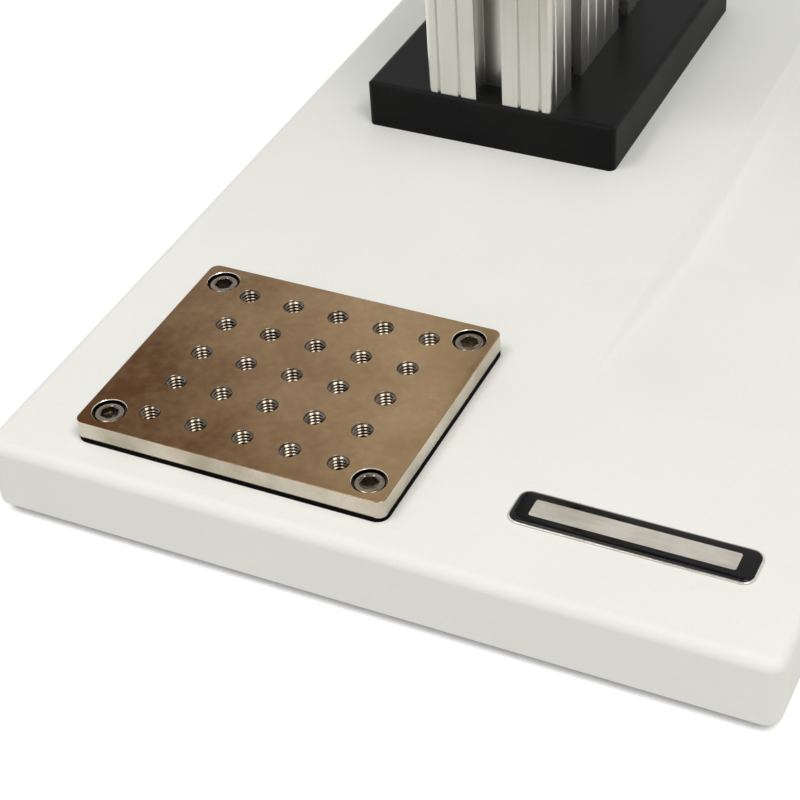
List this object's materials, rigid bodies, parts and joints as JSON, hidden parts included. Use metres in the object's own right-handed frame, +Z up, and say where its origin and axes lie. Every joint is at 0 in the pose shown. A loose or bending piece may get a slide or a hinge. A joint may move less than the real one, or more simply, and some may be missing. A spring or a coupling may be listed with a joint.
{
  "type": "manual force test stand",
  "caption": "Hand-operated force test stand: a cast base with a threaded specimen plate, a slotted column and a rack-driven carriage with a gauge plate.",
  "frame": {"origin": "mouth of the specimen plate's centre hole, on the load axis", "axes": "+X to the operator's right, +Y back towards the column, +Z up along the column"},
  "size_m": [0.201, 0.305, 0.6518],
  "materials": {
    "white_paint": "smooth powder coat",
    "rubber": "matte",
    "steel_plate": "ground and plated, fine brushed grain",
    "pad": "matte sheet",
    "screw_steel": "turned, satin",
    "dark_screw": "black oxide",
    "name_plate": "domed and glossy",
    "black_block": "satin black",
    "black_anodised": "satin black anodised",
    "extrusion": "clear anodised",
    "black_plastic": "moulded",
    "gear_steel": "machined, lightly oiled",
    "scale_white": "printed strip",
    "pointer_red": "painted",
    "bronze": "sintered bronze",
    "nylon": "low friction strip",
    "phenolic": "moulded and polished"
  },
  "bodies": {
    "stand": {"base": "white_paint", "rubber_feet": "rubber", "foot_screws": "screw_steel", "plate_pad": "pad", "grid_plate": "steel_plate", "plate_screws": "screw_steel", "name_plate": "name_plate", "column_foot": "black_block", "foot_bolts": "dark_screw", "column": "extrusion", "column_bolts": "dark_screw", "column_cap": "black_plastic", "gear_rack": "gear_steel", "rack_screws": "dark_screw", "rack_nuts": "gear_steel", "scale_strip": "scale_white"},
    "lower_stop": {"lower_stop": "extrusion", "lower_stop_nut": "gear_steel"},
    "lower_stop_screw": {"lower_stop_screw": "black_plastic"},
    "upper_stop": {"upper_stop": "extrusion", "upper_stop_nut": "gear_steel"},
    "upper_stop_screw": {"upper_stop_screw": "black_plastic"},
    "carriage": {"carriage_body": "black_anodised", "rear_plate": "black_anodised", "rear_plate_screws": "dark_screw", "glide_strips": "nylon", "gib_screws": "dark_screw", "shaft_bushes": "bronze", "brake_pad": "bronze", "scale_pointer": "pointer_red", "pointer_screw": "screw_steel", "arm": "extrusion", "arm_bolts": "dark_screw", "gauge_plate": "extrusion", "gauge_plate_screws": "dark_screw"},
    "wheel": {"pinion": "gear_steel", "pinion_pin": "screw_steel", "pinion_shaft": "screw_steel", "shaft_collar": "dark_screw", "hand_wheel": "phenolic", "hub_screw": "screw_steel", "handle_bolt": "screw_steel"},
    "handle": {"crank_handle": "phenolic"},
    "lock": {"lock_knob": "black_plastic", "lock_stem": "screw_steel"},
    "thumb_screw_1": {"thumb_screw_1": "black_plastic"},
    "thumb_screw_2": {"thumb_screw_2": "black_plastic"},
    "thumb_screw_3": {"thumb_screw_3": "black_plastic"},
    "thumb_screw_4": {"thumb_screw_4": "black_plastic"}
  },
  "joints": [
    {"name": "carriage_slide", "type": "slide", "parent": "stand", "child": "carriage", "axis": [0, 0, 1], "range_m": [-0.213, 0.197]},
    {"name": "wheel_turn", "type": "hinge", "parent": "carriage", "child": "wheel", "pos_m": [0, 0.1028, 0.33], "axis": [1, 0, 0], "range_deg": [-1003.8, 1085.3]},
    {"name": "handle_spin", "type": "hinge", "parent": "wheel", "child": "handle", "pos_m": [0.085, 0.05071, 0.37371], "axis": [1, 0, 0], "continuous": true},
    {"name": "lock_turn", "type": "hinge", "parent": "carriage", "child": "lock", "pos_m": [-0.0381, 0.17995, 0.33], "axis": [-1, 0, 0], "range_deg": [-180, 90]},
    {"name": "lower_stop_slide", "type": "slide", "parent": "stand", "child": "lower_stop", "axis": [0, 0, 1], "range_m": [-0.04, 0.004]},
    {"name": "lower_stop_screw_turn", "type": "hinge", "parent": "lower_stop", "child": "lower_stop_screw", "pos_m": [0.03205, 0.14185, 0.059], "axis": [1, 0, 0], "range_deg": [0, 360]},
    {"name": "upper_stop_slide", "type": "slide", "parent": "stand", "child": "upper_stop", "axis": [0, 0, 1], "range_m": [-0.024, 0.004]},
    {"name": "upper_stop_screw_turn", "type": "hinge", "parent": "upper_stop", "child": "upper_stop_screw", "pos_m": [0.03205, 0.14185, 0.6046], "axis": [1, 0, 0], "range_deg": [0, 360]},
    {"name": "thumb_screw_1_turn", "type": "hinge", "parent": "carriage", "child": "thumb_screw_1", "pos_m": [-0.0275, 0.0308, 0.365], "axis": [0, 1, 0], "continuous": true},
    {"name": "thumb_screw_2_turn", "type": "hinge", "parent": "carriage", "child": "thumb_screw_2", "pos_m": [0.0275, 0.0308, 0.365], "axis": [0, 1, 0], "continuous": true},
    {"name": "thumb_screw_3_turn", "type": "hinge", "parent": "carriage", "child": "thumb_screw_3", "pos_m": [-0.0275, 0.0308, 0.279], "axis": [0, 1, 0], "continuous": true},
    {"name": "thumb_screw_4_turn", "type": "hinge", "parent": "carriage", "child": "thumb_screw_4", "pos_m": [0.0275, 0.0308, 0.279], "axis": [0, 1, 0], "continuous": true}
  ],
  "couplings": [
    {"joint": "wheel_turn", "follows": "carriage_slide", "rad_per_m": -88.889}
  ]
}
